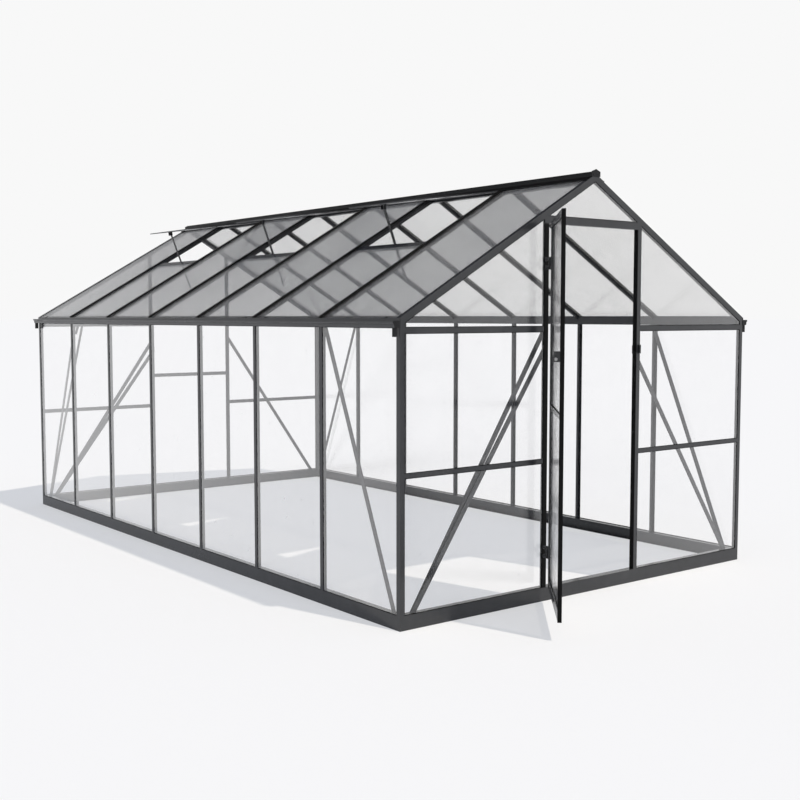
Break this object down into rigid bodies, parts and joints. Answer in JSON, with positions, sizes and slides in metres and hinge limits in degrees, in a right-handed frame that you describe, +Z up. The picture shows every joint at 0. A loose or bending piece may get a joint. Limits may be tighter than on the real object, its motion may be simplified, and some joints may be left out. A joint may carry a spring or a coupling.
{
  "type": "polycarbonate greenhouse",
  "caption": "Gabled greenhouse of aluminium glazing bars with clear wall sheets, a twin-wall roof with ridge vents standing open, and a hinged door in the front gable.",
  "frame": {"origin": "under the middle of the front base rail's face, at ground level", "axes": "+Y along the ridge from the door gable to the rear gable, +Z up, +X to the right of someone facing the door"},
  "size_m": [2.535, 4.8939, 2.1217],
  "materials": {
    "anthracite_aluminium": "satin anthracite powder coat on extruded aluminium",
    "dark_fittings": "satin dark powder coat on steel",
    "black_moulding": "fine matt moulded plastic",
    "clear_polycarbonate": "clear gloss sheet",
    "twin_wall_polycarbonate": "translucent grey twin-wall sheet with fine flutes down the slope"
  },
  "bodies": {
    "house": {"base_front": "anthracite_aluminium", "base_rear": "anthracite_aluminium", "base_left": "anthracite_aluminium", "base_right": "anthracite_aluminium", "corner_posts": "anthracite_aluminium", "wall_studs_left": "anthracite_aluminium", "wall_studs_right": "anthracite_aluminium", "eaves_beam_left": "anthracite_aluminium", "eaves_beam_right": "anthracite_aluminium", "gutter_left": "anthracite_aluminium", "gutter_right": "anthracite_aluminium", "gutter_ends": "black_moulding", "door_jambs": "anthracite_aluminium", "door_header": "anthracite_aluminium", "rear_gable_studs": "anthracite_aluminium", "gable_ties_front": "anthracite_aluminium", "gable_ties_rear": "anthracite_aluminium", "gable_rails_front": "anthracite_aluminium", "gable_rails_rear": "anthracite_aluminium", "raking_bars_front": "anthracite_aluminium", "raking_bars_rear": "anthracite_aluminium", "ridge_beam": "anthracite_aluminium", "ridge_cap": "anthracite_aluminium", "ridge_end_caps": "black_moulding", "rafters_left": "anthracite_aluminium", "rafters_right": "anthracite_aluminium", "vent_sills": "anthracite_aluminium", "vent_frames": "anthracite_aluminium", "vent_panels": "twin_wall_polycarbonate", "vent_stays": "dark_fittings", "wall_braces": "anthracite_aluminium", "gable_braces": "anthracite_aluminium", "wall_panes_left": "clear_polycarbonate", "wall_panes_right": "clear_polycarbonate", "gable_panes_front": "clear_polycarbonate", "gable_panes_rear": "clear_polycarbonate", "roof_sheets_left": "twin_wall_polycarbonate", "roof_sheets_right": "twin_wall_polycarbonate", "jamb_hinges": "dark_fittings", "latch_keeper": "dark_fittings"},
    "door": {"door_stiles": "anthracite_aluminium", "door_rails": "anthracite_aluminium", "door_panes": "clear_polycarbonate", "door_hinge_leaves": "dark_fittings", "door_latch": "dark_fittings"}
  },
  "joints": [
    {"name": "door_hinge", "type": "hinge", "parent": "house", "child": "door", "pos_m": [-0.347, -0.03, 0.25], "axis": [0, 0, 1], "range_deg": [-38, 131.5]}
  ]
}
